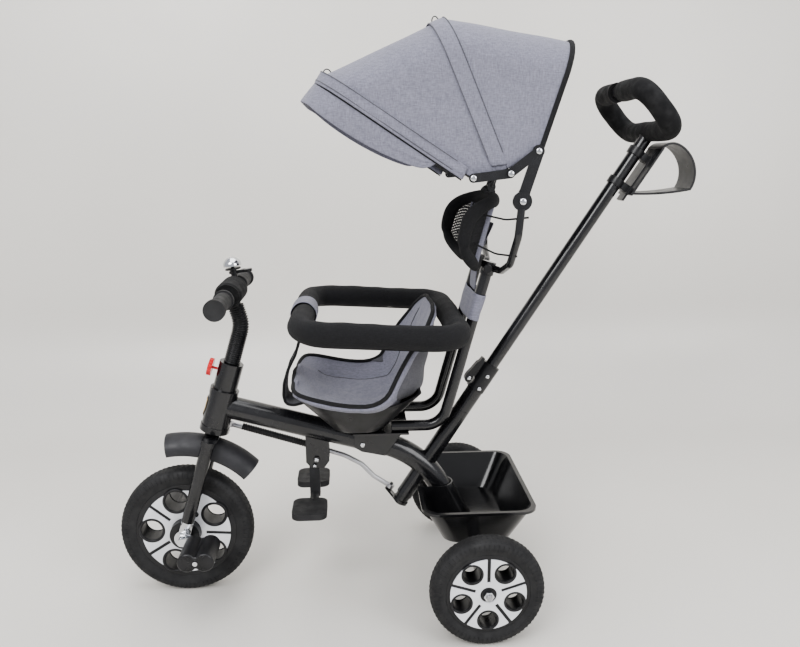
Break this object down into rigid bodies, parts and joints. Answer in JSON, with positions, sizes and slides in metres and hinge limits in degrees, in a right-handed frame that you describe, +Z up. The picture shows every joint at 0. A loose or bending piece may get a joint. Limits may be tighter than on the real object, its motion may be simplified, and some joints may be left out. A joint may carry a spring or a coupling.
{
  "type": "children's tricycle",
  "caption": "Child's tricycle with parent push handle that steers the front wheel, padded guard ring, folding canopy, footrest and rear basket.",
  "frame": {"origin": "centre of the overall box on the ground under the wheels", "axes": "+X forwards, +Y to the rider's left, +Z up"},
  "size_m": [1.102, 0.49, 1.0875],
  "materials": {
    "black_paint": "gloss",
    "chrome": "polished",
    "steel": "satin",
    "black_plastic": "gloss",
    "matt_black": "satin",
    "white_plastic": "satin",
    "red_plastic": "gloss",
    "black_tyre": "matt",
    "black_foam": "matt",
    "grey_fabric": "matt",
    "black_mesh": "matt",
    "badge": "gloss"
  },
  "bodies": {
    "frame": {"main_frame": "black_paint", "handle_socket": "black_paint", "head_cover": "black_plastic", "head_bushes": "matt_black", "head_badge": "badge", "seat_bracket": "black_paint", "seat_pan": "black_plastic", "seat_liner": "grey_fabric", "back_posts": "black_paint", "guard_ring_foam": "black_foam", "guard_ring_tube": "steel", "crotch_strap": "grey_fabric", "basket": "black_plastic", "basket_brackets": "black_paint", "rear_axle": "steel", "frame_fasteners": "chrome", "footrest_bracket": "black_paint", "headrest": "black_mesh"},
    "steering": {"fork": "black_paint", "fork_dropouts": "chrome", "front_axle_nuts": "chrome", "mudguard": "black_plastic", "stem": "black_paint", "stem_sleeve": "matt_black", "handlebar": "chrome", "handlebar_pad": "black_foam", "grips": "matt_black", "bell_base": "black_plastic", "bell_dome": "chrome"},
    "bell_lever": {"bell_lever": "black_plastic"},
    "head_knob": {"steering_knob": "red_plastic"},
    "front_wheel": {"front_rim": "black_plastic", "front_tyre": "black_tyre", "front_covers": "white_plastic"},
    "clutch": {"clutch_pin": "matt_black"},
    "crank": {"crankshaft": "chrome"},
    "left_pedal": {"pedal_left": "black_plastic"},
    "right_pedal": {"pedal_right": "black_plastic"},
    "left_rear_wheel": {"rear_rim_left": "black_plastic", "rear_tyre_left": "black_tyre", "rear_cover_left": "white_plastic"},
    "right_rear_wheel": {"rear_rim_right": "black_plastic", "rear_tyre_right": "black_tyre", "rear_cover_right": "white_plastic"},
    "handle_shaft": {"steering_shaft": "chrome", "clamp_collar": "black_plastic"},
    "clamp": {"clamp_lever": "black_plastic"},
    "push_handle": {"push_tube": "black_paint", "handle_foam": "black_foam", "cup_holder": "black_plastic"},
    "steering_rod": {"pushrod": "steel"},
    "footrest": {"footrest": "matt_black"},
    "canopy_arms": {"canopy_arms": "black_paint"},
    "left_arm_knob": {"canopy_knob_left": "black_plastic"},
    "right_arm_knob": {"canopy_knob_right": "black_plastic"},
    "canopy_rear": {"rear_bow": "black_paint", "rear_canopy": "grey_fabric"},
    "canopy_middle": {"mid_bow": "black_paint"},
    "canopy_front": {"front_bow": "black_paint", "front_canopy": "grey_fabric"}
  },
  "joints": [
    {"name": "steer", "type": "hinge", "parent": "frame", "child": "steering", "pos_m": [0.422, 0, 0.13], "axis": [-0.2924, 0, 0.9563], "range_deg": [-28, 28]},
    {"name": "handle_turn", "type": "hinge", "parent": "frame", "child": "handle_shaft", "pos_m": [-0.006, 0, 0.177], "axis": [-0.5417, 0, 0.8406], "range_deg": [-29, 29]},
    {"name": "rod_swing", "type": "hinge", "parent": "handle_shaft", "child": "steering_rod", "pos_m": [0.01417, -0.034, 0.19], "axis": [-0.5417, 0, 0.8406], "range_deg": [-33, 33]},
    {"name": "front_wheel_spin", "type": "hinge", "parent": "steering", "child": "front_wheel", "pos_m": [0.422, 0, 0.13], "axis": [0, 1, 0], "continuous": true},
    {"name": "crank_spin", "type": "hinge", "parent": "steering", "child": "crank", "pos_m": [0.422, 0, 0.13], "axis": [0, 1, 0], "continuous": true},
    {"name": "left_pedal_spin", "type": "hinge", "parent": "crank", "child": "left_pedal", "pos_m": [0.38, 0.105, 0.13], "axis": [0, 1, 0], "continuous": true},
    {"name": "right_pedal_spin", "type": "hinge", "parent": "crank", "child": "right_pedal", "pos_m": [0.464, -0.105, 0.13], "axis": [0, 1, 0], "continuous": true},
    {"name": "left_rear_wheel_spin", "type": "hinge", "parent": "frame", "child": "left_rear_wheel", "pos_m": [-0.1455, 0.215, 0.1025], "axis": [0, 1, 0], "continuous": true},
    {"name": "right_rear_wheel_spin", "type": "hinge", "parent": "frame", "child": "right_rear_wheel", "pos_m": [-0.1455, -0.215, 0.1025], "axis": [0, 1, 0], "continuous": true},
    {"name": "clutch_pull", "type": "slide", "parent": "front_wheel", "child": "clutch", "axis": [0, 1, 0], "range_m": [0, 0.005]},
    {"name": "bell_ring", "type": "hinge", "parent": "steering", "child": "bell_lever", "pos_m": [0.31155, -0.062, 0.60757], "axis": [0.1392, 0, 0.9903], "range_deg": [0, 25], "stiffness_Nm_per_rad": 0.05},
    {"name": "head_knob_turn", "type": "hinge", "parent": "frame", "child": "head_knob", "pos_m": [0.36172, 0, 0.46397], "axis": [0.9563, 0, 0.2924], "range_deg": [0, 270]},
    {"name": "clamp_open", "type": "hinge", "parent": "handle_shaft", "child": "clamp", "pos_m": [-0.13991, 0, 0.43095], "axis": [0, 1, 0], "range_deg": [0, 80]},
    {"name": "handle_slide", "type": "slide", "parent": "handle_shaft", "child": "push_handle", "axis": [-0.5417, 0, 0.8406], "range_m": [-0.15, 0]},
    {"name": "footrest_fold", "type": "hinge", "parent": "frame", "child": "footrest", "pos_m": [0.161, 0, 0.272], "axis": [0, -1, 0], "range_deg": [0, 60]},
    {"name": "canopy_lift", "type": "slide", "parent": "frame", "child": "canopy_arms", "axis": [-0.2622, 0, 0.965], "range_m": [0, 0.03]},
    {"name": "left_arm_knob_turn", "type": "hinge", "parent": "canopy_arms", "child": "left_arm_knob", "pos_m": [-0.15944, 0.074, 0.65613], "axis": [0, 1, 0], "range_deg": [-180, 180]},
    {"name": "right_arm_knob_turn", "type": "hinge", "parent": "canopy_arms", "child": "right_arm_knob", "pos_m": [-0.15944, -0.074, 0.65613], "axis": [0, 1, 0], "range_deg": [-180, 180]},
    {"name": "canopy_tilt", "type": "hinge", "parent": "canopy_arms", "child": "canopy_rear", "pos_m": [-0.199, 0, 0.781], "axis": [0, -1, 0], "range_deg": [-10, 15]},
    {"name": "canopy_fold_middle", "type": "hinge", "parent": "canopy_rear", "child": "canopy_middle", "pos_m": [-0.178, 0, 0.826], "axis": [0, -1, 0], "range_deg": [0, 30]},
    {"name": "canopy_fold_front", "type": "hinge", "parent": "canopy_middle", "child": "canopy_front", "pos_m": [-0.178, 0, 0.826], "axis": [0, -1, 0], "range_deg": [0, 32]}
  ],
  "couplings": [
    {"joint": "handle_turn", "follows": "steer", "ratio": 1},
    {"joint": "rod_swing", "follows": "steer", "ratio": -1.13},
    {"joint": "crank_spin", "follows": "front_wheel_spin", "ratio": 1},
    {"joint": "canopy_fold_middle", "follows": "canopy_fold_front", "ratio": 0.9}
  ]
}
